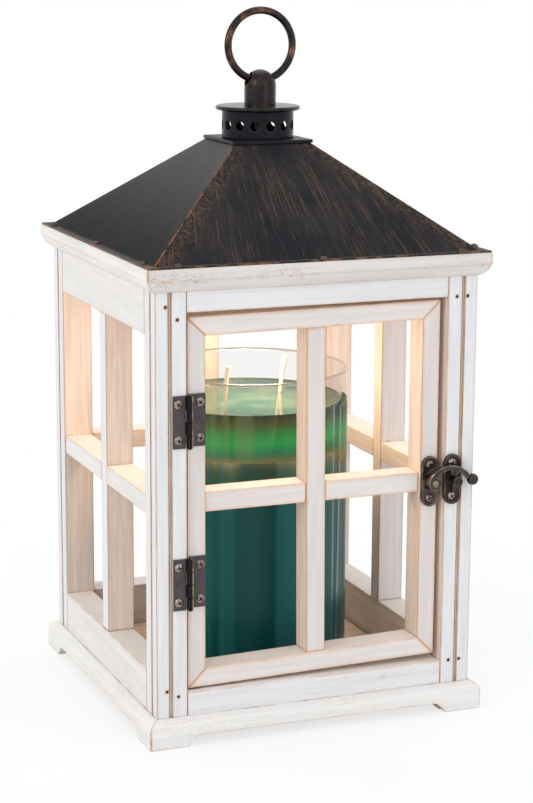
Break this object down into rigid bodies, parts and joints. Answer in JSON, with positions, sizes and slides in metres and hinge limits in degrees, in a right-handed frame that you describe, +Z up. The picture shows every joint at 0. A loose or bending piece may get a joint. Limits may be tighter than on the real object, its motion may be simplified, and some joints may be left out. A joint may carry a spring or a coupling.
{
  "type": "candle warmer lantern",
  "caption": "Square wooden candle lantern with a hinged door, latch hook, metal roof with vents and carry ring, and a warming bulb above a candle in a glass.",
  "frame": {"origin": "on the table, under the middle of the square body", "axes": "+Z up; the door faces -Y and is hinged on its -X side"},
  "size_m": [0.1702, 0.1731, 0.3352],
  "materials": {
    "whitewashed_pine": "thin white wash, rubbed through at the edges",
    "bare_pine": "bare, matt",
    "bronzed_metal": "dark bronze with copper streaks, satin",
    "dark_steel": "darkened, satin",
    "aged_brass": "aged, satin",
    "nickel_screws": "nickel plated",
    "dark_fixings": "darkened",
    "zinc_steel": "zinc plated",
    "lamp_ceramic": "matt",
    "terminal_plastic": "matt",
    "lead_sleeve": "braided sleeve, matt",
    "gland_rubber": "matt",
    "bulb_glass": "clear front, mirrored reflector",
    "clear_glass": "clear, polished",
    "candle_wax": "blue-green wax, slightly glossy",
    "wick_cotton": "waxed"
  },
  "bodies": {
    "lantern": {"skirt_front": "whitewashed_pine", "skirt_back": "whitewashed_pine", "skirt_left": "whitewashed_pine", "skirt_right": "whitewashed_pine", "post_front_left": "whitewashed_pine", "post_front_right": "whitewashed_pine", "post_back_left": "whitewashed_pine", "post_back_right": "whitewashed_pine", "front_top_rail": "whitewashed_pine", "front_bottom_rail": "whitewashed_pine", "back_top_rail": "whitewashed_pine", "back_bottom_rail": "whitewashed_pine", "left_top_rail": "whitewashed_pine", "left_bottom_rail": "whitewashed_pine", "right_top_rail": "whitewashed_pine", "right_bottom_rail": "whitewashed_pine", "back_upright": "whitewashed_pine", "back_crossbars": "whitewashed_pine", "left_upright": "whitewashed_pine", "left_crossbars": "whitewashed_pine", "right_upright": "whitewashed_pine", "right_crossbars": "whitewashed_pine", "crown_moulding": "whitewashed_pine", "floor_board": "bare_pine", "floor_cleats": "bare_pine", "ceiling_board": "bare_pine", "roof_shell": "bronzed_metal", "roof_cap": "bronzed_metal", "vent_collar": "bronzed_metal", "cap_disc": "bronzed_metal", "finial": "bronzed_metal", "hinge_frame_leaves": "dark_steel", "hinge_pins": "dark_steel", "catch_plate": "aged_brass", "frame_screws": "nickel_screws", "roof_screws": "dark_fixings", "finial_screw": "dark_fixings", "lamp_screws": "dark_fixings", "brad_nails": "dark_fixings", "lamp_strap": "zinc_steel", "lamp_holder": "lamp_ceramic", "terminal_block": "terminal_plastic", "lamp_leads": "lead_sleeve", "cord_gland": "gland_rubber"},
    "door": {"door_hinge_stile": "whitewashed_pine", "door_latch_stile": "whitewashed_pine", "door_top_rail": "whitewashed_pine", "door_bottom_rail": "whitewashed_pine", "door_upright": "whitewashed_pine", "door_crossbars": "whitewashed_pine", "hinge_door_leaves": "dark_steel", "door_screws": "nickel_screws", "latch_plate": "aged_brass", "latch_rivet": "aged_brass"},
    "latch": {"latch_hook": "aged_brass"},
    "ring": {"carry_ring": "bronzed_metal"},
    "bulb": {"bulb": "bulb_glass"},
    "candle": {"candle_jar": "clear_glass", "candle_wax": "candle_wax", "candle_wicks": "wick_cotton"}
  },
  "joints": [
    {"name": "door_hinge", "type": "hinge", "parent": "lantern", "child": "door", "pos_m": [-0.064, -0.0815, 0.116], "axis": [0, 0, -1], "range_deg": [0, 165]},
    {"name": "latch_swing", "type": "hinge", "parent": "door", "child": "latch", "pos_m": [0.0584, -0.0835, 0.1148], "axis": [0, -1, 0], "range_deg": [0, 100]},
    {"name": "ring_swing", "type": "hinge", "parent": "lantern", "child": "ring", "pos_m": [0.0012, 0, 0.3012], "axis": [1, 0, 0], "range_deg": [-120, 120]},
    {"name": "bulb_twist", "type": "hinge", "parent": "lantern", "child": "bulb", "pos_m": [0, 0, 0.243], "axis": [0, 0, -1], "range_deg": [0, 30]},
    {"name": "candle_lift", "type": "slide", "parent": "lantern", "child": "candle", "axis": [0, 0, 1], "range_m": [0, 0.02]}
  ]
}
